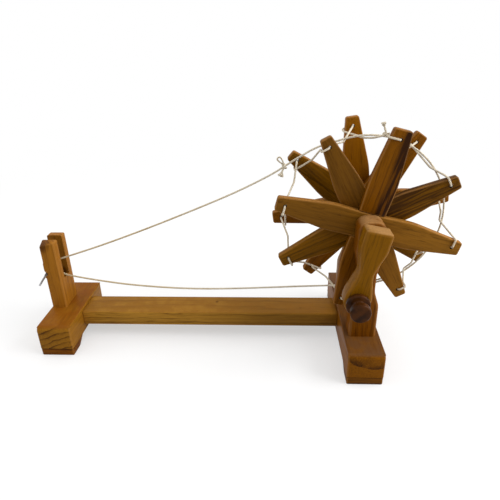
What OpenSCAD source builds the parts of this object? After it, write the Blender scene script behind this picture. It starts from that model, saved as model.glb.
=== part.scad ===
// Table charkha: a laced wheel of crossed wooden planks on two posts, turned by
// a crank, drives a wire spindle in a forked post through a cotton band.
// The bench is z = 0, x runs along the beam from spindle to wheel, and y runs
// from the crank side to the back. Lengths are in millimetres.

/* [Base] */
// Clear distance between the two feet, along the beam
feet_gap = 192; // [170:1:230]
// Width of each foot, along the beam
foot_w = 24; // [21:0.5:30]
// Length of the foot that carries the spindle fork
spindle_foot_l = 66; // [60:1:90]
// Height of the foot that carries the spindle fork
spindle_foot_h = 24.2; // [21:0.2:28]
// How far that foot's middle lies in front of the beam's axis
spindle_foot_lead = 3.4; // [0:0.1:8]
// Length of the foot that carries the wheel posts
wheel_foot_l = 112; // [100:1:140]
// Height of the foot that carries the wheel posts
wheel_foot_h = 24; // [21:0.2:28]
// Thickness of the pads glued under the ends of the feet
pad_h = 6; // [3:0.5:8]
// How far the pads stand back from the feet's sides
pad_inset = 0.2; // [0:0.1:2]
// Length of each pad along its foot
pad_l = 21; // [14:0.5:26]
// Length of the slope at a pad's inner end
pad_slope = 9; // [4:0.5:12]
// Width of the beam
beam_w = 23.6; // [16:0.2:30]
// Thickness of the beam
beam_h = 11.1; // [9:0.1:13]
// How far the beam's top lies below the lower foot's top
beam_drop = 2.4; // [0.5:0.1:4]
// Length of the tenon at each end of the beam
beam_tenon_l = 9; // [5:0.5:14]

/* [Spindle fork] */
// Thickness of the forked post, along the beam
fork_t = 11; // [9:0.5:16]
// Width of the forked post, across the beam
fork_w = 20.6; // [18:0.2:28]
// Height of the prongs' tops above the bench
fork_top = 77.5; // [70:0.5:95]
// How far the fork's middle lies behind the beam's axis
fork_set = 1; // [-3:0.5:5]
// Gap between the fork's outer face and the foot's outer face
fork_inset = 0.8; // [0:0.1:2]
// Width of the slot between the prongs
slot_w = 8; // [6:0.5:10]
// Height of the slot's floor above the bench
slot_floor = 46.4; // [38:0.2:47]
// Depth of the facet cut off the front prong's outer top corner
fork_facet = 3; // [1:0.5:5]
// Diameter of the spindle wire
spindle_d = 1.8; // [1.8:0.1:2.4]
// Length of the spindle wire
spindle_l = 40; // [34:1:60]
// Length of the spindle that stands out in front of the fork
spindle_nose = 13; // [8:0.5:20]
// Diameter of that nose, which takes a quill
spindle_nose_d = 1.4; // [0.9:0.1:1.4]
// Height of the spindle above the bench, midway between the prongs
spindle_h = 55; // [53:0.5:60]
// Depth of the spindle's centre in the fork's outer face
spindle_depth = 1.2; // [1:0.1:3]
// How far the spindle's nose dips, in degrees
spindle_tilt = 12; // [0:1:15]
// Height of the notch mouth that the spindle lies in
notch_h = 9.5; // [5:0.5:12]

/* [Wheel] */
// Height of the axle above the bench
axle_h = 97.6; // [92:0.2:115]
// Diameter of the axle
axle_d = 7; // [5:0.5:8]
// How far the wheel's mid plane lies in front of the beam's axis
wheel_lead = 6.8; // [0:0.2:10]
// Radius from the axle to a plank's end
plank_r = 61.5; // [58:0.5:68]
// Distance from a plank's end to the middle of its lacing hole
hole_inset = 5.9; // [5:0.1:9]
// Thickness of a plank
plank_t = 5.2; // [4:0.2:7]
// Width of a plank at its widest
plank_belly_w = 18.4; // [15:0.2:22]
// Radius at which a plank is widest
plank_belly_r = 27; // [22:0.5:34]
// Width of a plank at the axle
plank_hub_w = 16.6; // [13:0.2:18]
// Diameter of the lacing holes
lacing_hole_d = 2.2; // [2:0.1:3]
// Clear distance between the two stars of planks
star_gap = 19.9; // [16:0.1:30]
// Angles of the front star's four planks at rest, in degrees in order round the axle
front_angles = [-14.9, 26.6, 75.5, 117.9]; // [-20:0.1:130]
// Angles of the rear star's four planks at rest, in degrees in order round the axle
rear_angles = [7.5, 54.8, 98, 141.5]; // [0:0.1:150]
// Widths of the front star's eight plank ends, in order round the axle
front_tips = [8.8, 8.2, 11.2, 7.4, 9.2, 8.4, 7, 7.6]; // [7:0.1:12.5]
// Widths of the rear star's eight plank ends, in order round the axle
rear_tips = [8.2, 8.2, 8.4, 7, 8.2, 8.2, 8.2, 7.4]; // [7:0.1:12.5]
// How far each plank of the front star sits off centre along its length
front_slips = [1, 0, 1, 0.4]; // [-2:0.1:2]
// How far each plank of the rear star sits off centre along its length
rear_slips = [0.8, 1.6, 1.6, 0.8]; // [-2:0.1:2]
// Diameter of the hub drum's ends
drum_d = 20; // [17:0.5:26]
// Diameter of the hub drum's waist
drum_waist_d = 15; // [12:0.5:16]
// Gap between a star and its post, which holds a collar
collar_room = 1.5; // [1:0.1:3]
// Diameter of the collars and of the crank's washer
collar_d = 14; // [12:0.5:16]

/* [Posts] */
// Thickness of each wheel post, along the axle
post_t = 14; // [10:0.5:18]
// Width of a post at its foot
post_w = 17.8; // [16:0.2:22]
// Width of a post at its waist
post_waist_w = 11; // [9:0.2:14]
// Width of a post at its head
post_head_w = 16.8; // [15:0.2:22]
// Height of the post's head above the axle
post_head_rise = 9; // [8:0.5:14]
// Depth below the axle at which the head starts to narrow
post_neck_drop = 13; // [10:0.5:18]
// Depth below the axle at which the waist starts
post_waist_drop = 27; // [22:0.5:32]
// Depth below the axle at which the waist ends
post_hip_drop = 40; // [36:0.5:44]
// Depth below the axle at which the full width is reached
post_shoulder_drop = 50; // [48:0.5:56]
// Depth of the tenons under the posts and the fork
post_tenon_l = 9; // [5:0.5:12]

/* [Crank] */
// Distance from the axle to the knob
crank_throw = 40; // [32:0.5:46]
// Thickness of the crank
crank_t = 12; // [9:0.5:14]
// Gap between the crank and the front post, which holds a washer
crank_room = 1.4; // [1:0.1:3]
// Width of the crank's head
crank_head_w = 16.6; // [14:0.2:20]
// Height of the crank's head above the axle
crank_head_rise = 8.2; // [7:0.2:11]
// Width of the crank at its waist
crank_waist_w = 8.4; // [7:0.2:11]
// Distance of the waist below the axle
crank_waist_drop = 20; // [17:0.5:22]
// Width of the crank's rounded lower end
crank_end_w = 16.6; // [13:0.2:20]
// How far the hanging crank leans towards the spindle, in degrees
crank_lean = 11.7; // [-180:0.1:180]
// Depth of the axle's blind hole in the crank
crank_bore_l = 8; // [5:0.5:8.5]

/* [Knob] */
// Length of the knob
knob_l = 13.1; // [10:0.1:18]
// Diameter of the knob's base disc
knob_base_d = 15; // [12:0.5:18]
// Thickness of the knob's base disc
knob_base_t = 3; // [2:0.2:4]
// Diameter of the knob's neck
knob_neck_d = 8; // [6:0.2:9]
// Diameter of the knob's head
knob_head_d = 12.6; // [11:0.2:16]
// Thickness of the knob's head at its rim
knob_head_t = 4; // [3:0.2:5]
// Diameter of the screw that the knob turns on
screw_d = 3; // [2:0.2:3.6]
// Length of the screw inside the knob
screw_bite = 9; // [5:0.5:9.5]
// Diameter of the screw's countersunk head
screw_head_d = 5.6; // [4.6:0.2:6.6]

/* [Cords] */
// Diameter of the lacing cord
lacing_d = 1.2; // [0.8:0.1:1.4]
// Diameter of the drive band
band_d = 1.2; // [0.8:0.1:1.4]

/* [Hidden] */
$fn = 64;

// Room left in glued joints, round turning shafts, between moving faces and beside a cord
glue_gap = 0.1;
run_gap = 0.08;
move_gap = 0.3;
cord_gap = 0.3;
// Overlap that lets a cut or a join pass cleanly through a face
over = 1;

teak = "#a9682c";
pale_teak = "#b9783a";
dark_teak = "#96562a";
knob_brown = "#43261a";
steel = "#85868a";
cotton = "#efe5cb";

// Places along the beam
foot_x = feet_gap / 2 + foot_w / 2;
axle_x = foot_x;
fork_face_x = -foot_x - foot_w / 2 + fork_inset;
fork_x = fork_face_x + fork_t / 2;
spindle_x = fork_face_x + spindle_depth;

// Places across the beam
wheel_y = -wheel_lead;
spindle_foot_y = -spindle_foot_lead;
star_t = 2 * plank_t;
hole_r = plank_r - hole_inset;
front_star_y = wheel_y - star_gap / 2 - star_t;
rear_star_y = wheel_y + star_gap / 2;
front_post_y = front_star_y - collar_room - post_t;
rear_post_y = rear_star_y + star_t + collar_room;
crank_y = front_post_y - crank_room - crank_t;
axle_front_y = crank_y + crank_t - crank_bore_l;
axle_rear_y = rear_post_y + post_t;

// Heights of the beam
beam_top = min(spindle_foot_h, wheel_foot_h) - beam_drop;
beam_bottom = beam_top - beam_h;

// Shoulders that the tenons leave round themselves
beam_shoulder_y = 3.5;
beam_shoulder_z = 2;
post_shoulder_x = 3;
post_shoulder_y = 2.5;

// Roundings
foot_front_round = 4;
edge_round = 1;
pad_round = 5;
plank_tip_round = 1.5;
plank_belly_round = 60;
post_bend_round = 16;
post_head_round = 6;
crank_bend_round = 14;
crank_head_round = 2;
knob_edge_round = 0.6;
knob_rim_round = 1.2;
knob_neck_round = 0.9;
// Height of the dome on the knob's head, and of the flares at the ends of its neck
knob_dome = 1;
knob_flare = 1;

// Middle of the whole charkha's outline on the bench, which is the origin
band_loop_r = spindle_d / 2 + band_d / 2 + cord_gap;
left_end = min(-foot_x - foot_w / 2, spindle_x - band_loop_r - band_d / 2);
right_end = axle_x + star_reach();
front_end = crank_y - move_gap - knob_l;
rear_end = wheel_y + wheel_foot_l / 2;
origin_x = (left_end + right_end) / 2;
origin_y = (front_end + rear_end) / 2;

// Furthest reach of any plank corner along the beam
function star_reach() = max([
    for (step = [0 : 7], side = [-1, 1]) each [
        corner_reach(end_angle(front_angles, step), end_slip(front_slips, step), front_tips[step] * side),
        corner_reach(end_angle(rear_angles, step), end_slip(rear_slips, step), rear_tips[step] * side)
    ]
]);
function corner_reach(angle, slip, tip) = (plank_r + slip - plank_tip_round) * cos(angle)
    + (tip / 2 - sign(tip) * plank_tip_round) * sin(angle) + plank_tip_round;

// Angle of the plank end at a step round a star, and how far it sits off centre
function end_angle(angles, step) = angles[step % 4] + 180 * floor(step / 4);
function end_slip(slips, step) = step % 8 < 4 ? slips[step % 4] : -slips[step % 4];

function front_layer(which) = which % 2;
function rear_layer(which) = 1 - which % 2;

function unit(v) = v / norm(v);
function flat(p) = [p.x, p.y];

// Outline with rounded corners, each given as [across, up, radius]
function rounded(corners, steps = 8) = [
    for (i = [0 : len(corners) - 1])
        let (
            n = len(corners),
            here = flat(corners[i]),
            back = unit(flat(corners[(i + n - 1) % n]) - here),
            ahead = unit(flat(corners[(i + 1) % n]) - here),
            radius = corners[i].z,
            half = acos(back * ahead) / 2,
            centre = here + unit(back + ahead) * radius / sin(half),
            start = here + back * radius / tan(half) - centre,
            finish = here + ahead * radius / tan(half) - centre,
            from = atan2(start.y, start.x),
            turn = atan2(start.x * finish.y - start.y * finish.x, start * finish)
        )
        each radius > 0
            ? [for (k = [0 : steps])
                centre + radius * [cos(from + turn * k / steps), sin(from + turn * k / steps)]]
            : [here]
];

// A half outline on the right, closed by its mirror image on the left
function mirrored(half) = concat(half, [
    for (i = [len(half) - 1 : -1 : 0]) [-half[i].x, half[i].y, half[i].z]
]);

// A profile drawn in y and z, carried along x
module along_x(length) rotate([90, 0, 90]) linear_extrude(length, center = true) children();

// A profile drawn in x and z, carried from y = front backwards
module along_y(front, length)
    translate([0, front + length, 0]) rotate([90, 0, 0]) linear_extrude(length) children();

// A shape drawn along +z, turned to point at the crank side from y = start
module towards_front(start) translate([0, start, 0]) rotate([90, 0, 0]) children();

module in_frame() translate([-origin_x, -origin_y, 0]) children();

module box(low, high) translate(low) cube(high - low);

// Feet and beam

module foot_block(length, height) {
    end_profile = rounded([
        [-length / 2, pad_h, 0], [length / 2, pad_h, 0],
        [length / 2, height, edge_round], [-length / 2, height, foot_front_round]
    ]);
    side_profile = rounded([
        [-foot_w / 2, pad_h, 0], [foot_w / 2, pad_h, 0],
        [foot_w / 2, height, edge_round], [-foot_w / 2, height, edge_round]
    ]);
    intersection() {
        along_x(foot_w) polygon(end_profile);
        along_y(-length / 2, length) polygon(side_profile);
    }
}

// Pad under a foot's end, with side = -1 at the front and 1 at the back
module pad(side, length) {
    outer = length / 2 - pad_inset / 2;
    corners = [
        [outer, 0, edge_round], [outer, pad_h, 0],
        [outer - pad_l, pad_h, 0], [outer - pad_l + pad_slope, 0, pad_round]
    ];
    mirror([0, side < 0 ? 1 : 0, 0]) along_x(foot_w - 2 * pad_inset) polygon(rounded(corners));
}

module beam_tenon(grow) {
    reach = feet_gap / 2 + beam_tenon_l + grow;
    half_w = beam_w / 2 - beam_shoulder_y + grow;
    box([-reach, -half_w, beam_bottom + beam_shoulder_z - grow],
        [reach, half_w, beam_top - beam_shoulder_z + grow]);
}

module fork_tenon(grow) {
    box([fork_x - fork_t / 2 + post_shoulder_x - grow, fork_set - fork_w / 2 + post_shoulder_y - grow,
         spindle_foot_h - post_tenon_l - grow],
        [fork_x + fork_t / 2 - post_shoulder_x + grow, fork_set + fork_w / 2 - post_shoulder_y + grow,
         spindle_foot_h + over]);
}

module post_tenon(front, grow) {
    half_w = post_w / 2 - post_shoulder_x + grow;
    box([axle_x - half_w, front + post_shoulder_y - grow, wheel_foot_h - post_tenon_l - grow],
        [axle_x + half_w, front + post_t - post_shoulder_y + grow, wheel_foot_h + over]);
}

module spindle_foot() color(teak) difference() {
    translate([-foot_x, spindle_foot_y, 0]) foot_block(spindle_foot_l, spindle_foot_h);
    beam_tenon(glue_gap);
    fork_tenon(glue_gap);
}

module spindle_foot_front_pad() color(dark_teak)
    translate([-foot_x, spindle_foot_y, 0]) pad(-1, spindle_foot_l);

module spindle_foot_rear_pad() color(dark_teak)
    translate([-foot_x, spindle_foot_y, 0]) pad(1, spindle_foot_l);

module wheel_foot() color(teak) difference() {
    translate([foot_x, wheel_y, 0]) foot_block(wheel_foot_l, wheel_foot_h);
    beam_tenon(glue_gap);
    for (front = [front_post_y, rear_post_y]) post_tenon(front, glue_gap);
}

module wheel_foot_front_pad() color(dark_teak)
    translate([foot_x, wheel_y, 0]) pad(-1, wheel_foot_l);

module wheel_foot_rear_pad() color(dark_teak)
    translate([foot_x, wheel_y, 0]) pad(1, wheel_foot_l);

module beam() color(pale_teak) {
    corners = [
        [-beam_w / 2, beam_bottom, 0], [beam_w / 2, beam_bottom, 0],
        [beam_w / 2, beam_top, edge_round], [-beam_w / 2, beam_top, edge_round]
    ];
    along_x(feet_gap) polygon(rounded(corners));
    beam_tenon(0);
}

// Spindle fork and spindle

// Things drawn along +z lie along the spindle, with z = 0 midway between the
// prongs and +z towards the nose
module on_spindle()
    translate([spindle_x, fork_set, spindle_h]) rotate([90 + spindle_tilt, 0, 0]) children();

module spindle_notch() {
    lip = notch_h / 2;
    on_spindle() {
        cylinder(r = spindle_d / 2 + run_gap, h = 2 * fork_w, center = true);
        linear_extrude(2 * fork_w, center = true)
            polygon([[0, 0], [-spindle_depth - over, lip], [-spindle_depth - over, -lip]]);
    }
}

// Slanted cut across the front prong's top that takes off its outer front corner
module fork_facet_cut() {
    prong = (fork_w - slot_w) / 2;
    rise = atan(fork_facet / fork_t);
    tilt = atan(fork_facet / prong * cos(rise));
    translate([fork_face_x, fork_set - fork_w / 2, fork_top - fork_facet])
        rotate([0, -rise, 0]) rotate([tilt, 0, 0]) box([-fork_t, -prong, 0], [2 * fork_t, 2 * prong, fork_t]);
}

module spindle_fork() color(teak) {
    difference() {
        box([fork_face_x, fork_set - fork_w / 2, spindle_foot_h],
            [fork_face_x + fork_t, fork_set + fork_w / 2, fork_top]);
        box([fork_face_x - over, fork_set - slot_w / 2, slot_floor],
            [fork_face_x + fork_t + over, fork_set + slot_w / 2, fork_top + over]);
        spindle_notch();
        fork_facet_cut();
    }
    fork_tenon(0);
}

module spindle() color(steel) {
    fork_end = fork_w / 2 / cos(spindle_tilt);
    nose_end = fork_end + spindle_nose;
    nose_start = fork_end + spindle_d;
    point = spindle_nose_d / 4;
    on_spindle() {
        translate([0, 0, nose_end - spindle_l])
            cylinder(d = spindle_d, h = nose_start - nose_end + spindle_l);
        translate([0, 0, nose_start]) cylinder(d = spindle_nose_d, h = nose_end - nose_start - point);
        translate([0, 0, nose_end - point]) cylinder(d1 = spindle_nose_d, d2 = spindle_nose_d / 2, h = point);
    }
}

// Wheel posts

module wheel_post(front) {
    half = [
        [post_w / 2, wheel_foot_h, 0],
        [post_w / 2, axle_h - post_shoulder_drop, post_bend_round],
        [post_waist_w / 2, axle_h - post_hip_drop, post_bend_round],
        [post_waist_w / 2, axle_h - post_waist_drop, post_bend_round],
        [post_head_w / 2, axle_h - post_neck_drop, post_bend_round],
        [post_head_w / 2, axle_h + post_head_rise, post_head_round]
    ];
    difference() {
        translate([axle_x, 0, 0]) along_y(front, post_t) polygon(rounded(mirrored(half)));
        translate([axle_x, 0, axle_h]) towards_front(front + post_t + over)
            cylinder(r = axle_d / 2 + run_gap, h = post_t + 2 * over);
    }
    post_tenon(front, 0);
}

module front_post() color(teak) wheel_post(front_post_y);

module rear_post() color(dark_teak) wheel_post(rear_post_y);

// Wheel of crossing planks

module plank_outline(tips, slip, which, grow) {
    half = [
        [tips[which + 4] / 2 + grow, -plank_r, plank_tip_round],
        [plank_belly_w / 2 + grow, -plank_belly_r, plank_belly_round],
        [plank_hub_w / 2 + grow, 0, 0],
        [plank_belly_w / 2 + grow, plank_belly_r, plank_belly_round],
        [tips[which] / 2 + grow, plank_r, plank_tip_round]
    ];
    translate([slip, 0]) rotate(-90) polygon(rounded(mirrored(half)));
}

// One plank of a star that starts at y = front, in the star's front layer 0 or its
// rear layer 1. Planks 0 and 2 cross each other in one layer and 1 and 3 in the other.
// The first of a crossing pair is halved from behind and the second from the front.
module plank(front, layer, angles, tips, slips, which) {
    partner = (which + 2) % 4;
    lap = plank_t / 2;
    lap_from = which < 2 ? -over : lap - glue_gap / 2;
    translate([axle_x, front + plank_t * (layer + 1), axle_h]) rotate([90, 0, 0]) rotate(angles[which])
        difference() {
            linear_extrude(plank_t) plank_outline(tips, slips[which], which, 0);
            translate([0, 0, lap_from]) rotate(angles[partner] - angles[which])
                linear_extrude(lap + over + glue_gap / 2)
                    plank_outline(tips, slips[partner], partner, glue_gap);
            translate([0, 0, -over]) cylinder(r = axle_d / 2 + glue_gap, h = plank_t + 2 * over);
            for (end = [-hole_r, hole_r]) translate([end + slips[which], 0, -over])
                cylinder(d = lacing_hole_d, h = plank_t + 2 * over);
        }
}

// Planks 1 and 3 of each star lie on its inner side, towards the other star
module front_plank(which)
    plank(front_star_y, front_layer(which), front_angles, front_tips, front_slips, which);
module rear_plank(which)
    plank(rear_star_y, rear_layer(which), rear_angles, rear_tips, rear_slips, which);

module front_plank_1() color(teak) front_plank(0);
module front_plank_2() color(pale_teak) front_plank(1);
module front_plank_3() color(dark_teak) front_plank(2);
module front_plank_4() color(teak) front_plank(3);
module rear_plank_1() color(teak) rear_plank(0);
module rear_plank_2() color(dark_teak) rear_plank(1);
module rear_plank_3() color(pale_teak) rear_plank(2);
module rear_plank_4() color(teak) rear_plank(3);

// Axle, hub drum and collars

// Ring round the axle from y = back towards the front
module axle_ring(back, length, outer_d) translate([axle_x, 0, axle_h]) towards_front(back)
    difference() {
        cylinder(d = outer_d, h = length);
        translate([0, 0, -over]) cylinder(r = axle_d / 2 + glue_gap, h = length + 2 * over);
    }

module axle() color(pale_teak) translate([axle_x, 0, axle_h]) towards_front(axle_rear_y)
    cylinder(d = axle_d, h = axle_rear_y - axle_front_y);

module hub_drum() color(dark_teak) {
    bore = axle_d / 2 + glue_gap;
    flare = star_gap / 4;
    flare_round = star_gap / 6;
    corners = [
        [bore, 0, 0], [drum_d / 2, 0, 0],
        [drum_waist_d / 2, flare, flare_round], [drum_waist_d / 2, star_gap - flare, flare_round],
        [drum_d / 2, star_gap, 0], [bore, star_gap, 0]
    ];
    translate([axle_x, 0, axle_h]) towards_front(rear_star_y)
        rotate_extrude() polygon(rounded(corners));
}

module front_collar() color(pale_teak) axle_ring(front_star_y, collar_room - move_gap, collar_d);

module rear_collar() color(pale_teak)
    axle_ring(rear_star_y + star_t + collar_room - move_gap, collar_room - move_gap, collar_d);

module crank_washer() color(pale_teak)
    axle_ring(crank_y + crank_t + crank_room - move_gap, crank_room - move_gap, collar_d);

// Crank and knob

// Things drawn in the crank's own plane: x across it, y from the knob to the
// axle, z towards the front from y = start
module on_crank(start) translate([axle_x, start, axle_h]) rotate([90, 0, 0]) rotate(-crank_lean) children();

module crank_arm() color(teak) {
    end_r = crank_end_w / 2;
    end_round = end_r - glue_gap;
    half = [
        [end_r, -crank_throw - end_r, end_round],
        [end_r, -crank_throw + end_r / 2, crank_bend_round],
        [crank_waist_w / 2, -crank_waist_drop, crank_bend_round],
        [crank_head_w / 2, -crank_head_rise / 2, crank_bend_round],
        [crank_head_w / 2, crank_head_rise, crank_head_round]
    ];
    sink = (screw_head_d - screw_d) / 2;
    on_crank(crank_y + crank_t) difference() {
        linear_extrude(crank_t) polygon(rounded(mirrored(half)));
        translate([0, 0, -over]) cylinder(r = axle_d / 2 + glue_gap, h = crank_bore_l + over);
        translate([0, -crank_throw, -over]) cylinder(r = screw_d / 2 + run_gap, h = crank_t + 2 * over);
        translate([0, -crank_throw, 0])
            cylinder(r1 = screw_head_d / 2 + move_gap, r2 = screw_d / 2 + run_gap, h = sink + move_gap);
        translate([0, -crank_throw, -over]) cylinder(r = screw_head_d / 2 + move_gap, h = over);
    }
}

module crank_knob() color(knob_brown) {
    head_top = knob_l - knob_dome;
    head_bottom = head_top - knob_head_t;
    corners = [
        [0, 0, 0], [knob_base_d / 2, 0, knob_edge_round], [knob_base_d / 2, knob_base_t, knob_rim_round],
        [knob_neck_d / 2, knob_base_t + knob_flare, knob_neck_round],
        [knob_neck_d / 2, head_bottom - knob_flare, knob_neck_round],
        [knob_head_d / 2, head_bottom, knob_edge_round], [knob_head_d / 2, head_top, knob_rim_round],
        [0, knob_l, 0]
    ];
    on_crank(crank_y - move_gap) translate([0, -crank_throw, 0]) difference() {
        rotate_extrude() polygon(rounded(corners));
        translate([0, 0, -over]) cylinder(r = screw_d / 2 + glue_gap, h = screw_bite + over);
    }
}

module knob_screw() color(steel) {
    sink = (screw_head_d - screw_d) / 2;
    on_crank(crank_y + crank_t) translate([0, -crank_throw, 0]) {
        cylinder(d = screw_d, h = crank_t + move_gap + screw_bite - glue_gap);
        cylinder(r1 = screw_head_d / 2, r2 = screw_d / 2, h = sink);
    }
}

// Cords

// Tube along a closed route, with a ring of corners at each point. Each point has
// a direction beside it that the route never follows, so the rings don't twist.
module closed_tube(route, beside, diameter, sides = 8) {
    n = len(route);
    rings = [
        for (i = [0 : n - 1])
            let (
                before = unit(route[i] - route[(i + n - 1) % n]),
                after = unit(route[(i + 1) % n] - route[i]),
                along = unit(before + after),
                out = unit(cross(along, beside[i])),
                up = cross(out, along)
            )
            for (k = [0 : sides - 1])
                let (a = 360 * k / sides)
                route[i] + diameter / 2 * (cos(a) * out + sin(a) * up)
    ];
    faces = [
        for (i = [0 : n - 1], k = [0 : sides - 1])
            let (
                j = (i + 1) % n,
                m = (k + 1) % sides,
                a = i * sides + k,
                b = i * sides + m,
                c = j * sides + m,
                d = j * sides + k
            )
            each [[a, b, c], [a, c, d]]
    ];
    polyhedron(rings, faces);
}

// Point of the wheel at a radius, an angle and a distance along the rim past it
function wheel_point(radius, angle, aside, y) = [
    axle_x + radius * cos(angle) - aside * sin(angle), y,
    axle_h + radius * sin(angle) + aside * cos(angle)
];

// How deep the band presses the lacing in, and how far in a rear plank is wrapped,
// which keeps the two strands that cross there apart
lacing_dip = 3.6;
lacing_dip_r = hole_r - lacing_dip;
held_shares = [0.3, 0.7];
free_shares = [0.5];
rear_wrap_drop = 2.6;
face_room = lacing_d / 2 + cord_gap;

// Distance from a plank's middle line to the cord that wraps its edge, at a distance
// from the plank's own middle
function wrap_aside(tip, reach) = tip / 2
    + (plank_belly_w - tip) / 2 * (plank_r - reach) / (plank_r - plank_belly_r) + face_room;

// Where the lacing crosses from one plank to the next it dips below the band's circle.
// The band holds a strand that it lies on down over a longer part.
function under_band(angle) =
    abs(angle - band_middle) < band_half || abs(angle - 360 - band_middle) < band_half;

function pressed(from, to) = [
    for (share = under_band((from + to) / 2) ? held_shares : free_shares)
        wheel_point(lacing_dip_r, from + share * (to - from), 0, wheel_y)
];

// The lacing's turn round a front plank and then round the next rear plank
function lacing_step(step) =
    let (
        front_angle = end_angle(front_angles, step),
        rear_angle = end_angle(rear_angles, step),
        next_angle = end_angle(front_angles, step + 1),
        front_r = hole_r + end_slip(front_slips, step),
        rear_r = hole_r + end_slip(rear_slips, step),
        rear_wrap_r = rear_r - rear_wrap_drop,
        front_aside = wrap_aside(front_tips[step], hole_r),
        rear_aside = wrap_aside(rear_tips[step], hole_r - rear_wrap_drop),
        wrap_turn = atan(front_aside / front_r),
        front_out = front_star_y + plank_t * front_layer(step) - face_room,
        front_in = front_star_y + plank_t * (front_layer(step) + 1) + face_room,
        rear_in = rear_star_y + plank_t * rear_layer(step) - face_room,
        rear_out = rear_star_y + plank_t * (rear_layer(step) + 1) + face_room
    )
    concat(
        [
            wheel_point(front_r, front_angle, 0, front_in),
            wheel_point(front_r, front_angle, 0, front_out),
            wheel_point(front_r, front_angle, front_aside, front_out),
            wheel_point(front_r, front_angle, front_aside, front_in)
        ],
        pressed(front_angle + wrap_turn, rear_angle),
        [
            wheel_point(rear_wrap_r, rear_angle, rear_aside, rear_in),
            wheel_point(rear_wrap_r, rear_angle, rear_aside, rear_out),
            wheel_point(rear_r, rear_angle, 0, rear_out),
            wheel_point(rear_r, rear_angle, 0, rear_in)
        ],
        pressed(rear_angle, next_angle)
    );

module lacing_cord() color(cotton) {
    route = [for (step = [0 : 7]) each lacing_step(step)];
    outwards = [for (point = route) [point.x - axle_x, 0, point.z - axle_h]];
    closed_tube(route, outwards, lacing_d);
}

// Shape of the band's two free runs. Each pair is a share of the way along the run and
// its height there off the straight line between the run's ends.
band_upper_run = [
    [0.036, 0.1], [0.182, -2.6], [0.333, -4.3], [0.485, -5.1], [0.636, -5.2],
    [0.73, -4.2], [0.791, -2.7], [0.82, -1.3], [0.872, 0.9], [0.924, 2.1]
];
band_lower_run = [
    [0.094, -2.3], [0.19, -4.5], [0.303, -7.3], [0.416, -9.9], [0.529, -11.7],
    [0.641, -12.1], [0.754, -11.3], [0.859, -9.1], [0.932, -6.8], [0.958, -5.5]
];
// The lacing rises beside the band, so the band rides a little further out than the gap
band_ride = 0.5;
band_wheel_r = lacing_dip_r + lacing_d / 2 + band_d / 2 + band_ride;
band_wheel_from = 106;
band_wheel_to = -86;
band_wheel_steps = 36;
band_middle = (band_wheel_from + band_wheel_to) / 2;
band_half = (band_wheel_from - band_wheel_to) / 2;
band_spindle_from = 250;
band_spindle_to = 112;
band_spindle_steps = 6;

function band_wheel_arc() = [
    for (i = [0 : band_wheel_steps])
        wheel_point(band_wheel_r,
            band_wheel_from + (band_wheel_to - band_wheel_from) * i / band_wheel_steps, 0, wheel_y)
];

function band_spindle_arc() = [
    for (i = [0 : band_spindle_steps])
        let (a = band_spindle_from + (band_spindle_to - band_spindle_from) * i / band_spindle_steps)
        [spindle_x + band_loop_r * cos(a), fork_set, spindle_h + band_loop_r * sin(a)]
];

function band_run(from, to, shape) = [
    for (pair = shape) from + pair[0] * (to - from) + [0, 0, pair[1]]
];

module drive_band() color(cotton) {
    wheel_arc = band_wheel_arc();
    spindle_arc = band_spindle_arc();
    route = concat(
        band_run(spindle_arc[band_spindle_steps], wheel_arc[0], band_upper_run), wheel_arc,
        band_run(wheel_arc[band_wheel_steps], spindle_arc[0], band_lower_run), spindle_arc
    );
    closed_tube(route, [for (point = route) [0, 1, 0]], band_d);
}

// What is drawn

in_frame() spindle_foot();
in_frame() spindle_foot_front_pad();
in_frame() spindle_foot_rear_pad();
in_frame() wheel_foot();
in_frame() wheel_foot_front_pad();
in_frame() wheel_foot_rear_pad();
in_frame() beam();
in_frame() spindle_fork();
in_frame() front_post();
in_frame() rear_post();
in_frame() drive_band();
in_frame() front_plank_1();
in_frame() front_plank_2();
in_frame() front_plank_3();
in_frame() front_plank_4();
in_frame() rear_plank_1();
in_frame() rear_plank_2();
in_frame() rear_plank_3();
in_frame() rear_plank_4();
in_frame() axle();
in_frame() hub_drum();
in_frame() front_collar();
in_frame() rear_collar();
in_frame() crank_washer();
in_frame() crank_arm();
in_frame() lacing_cord();
in_frame() crank_knob();
in_frame() knob_screw();
in_frame() spindle();
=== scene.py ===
"""Looks of a table charkha in varnished teak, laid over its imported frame.

Wooden pieces are shown as copies with sanded edges, the two cords as laid cotton
with their knots, and the turned and metal pieces as they are. Places are in metres
in the frame's own axes: x from spindle to wheel, y from the crank to the back.
"""
import math
import random

import bmesh
import bpy
from mathutils import Matrix, Vector


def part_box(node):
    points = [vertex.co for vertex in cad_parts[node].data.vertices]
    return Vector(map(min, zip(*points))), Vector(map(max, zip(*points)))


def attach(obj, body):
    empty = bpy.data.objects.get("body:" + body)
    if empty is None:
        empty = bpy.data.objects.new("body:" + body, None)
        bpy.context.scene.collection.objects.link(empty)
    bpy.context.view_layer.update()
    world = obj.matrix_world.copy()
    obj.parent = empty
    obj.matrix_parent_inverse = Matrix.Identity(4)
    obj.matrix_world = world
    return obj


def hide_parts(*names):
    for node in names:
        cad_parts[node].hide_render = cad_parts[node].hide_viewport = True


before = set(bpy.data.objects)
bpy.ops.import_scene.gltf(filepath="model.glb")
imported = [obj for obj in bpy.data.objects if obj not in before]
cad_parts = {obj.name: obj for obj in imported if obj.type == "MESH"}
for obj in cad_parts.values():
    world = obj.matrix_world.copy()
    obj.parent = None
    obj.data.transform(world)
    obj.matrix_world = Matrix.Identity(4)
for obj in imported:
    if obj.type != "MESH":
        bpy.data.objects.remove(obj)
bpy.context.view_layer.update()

MM = 0.001

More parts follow.
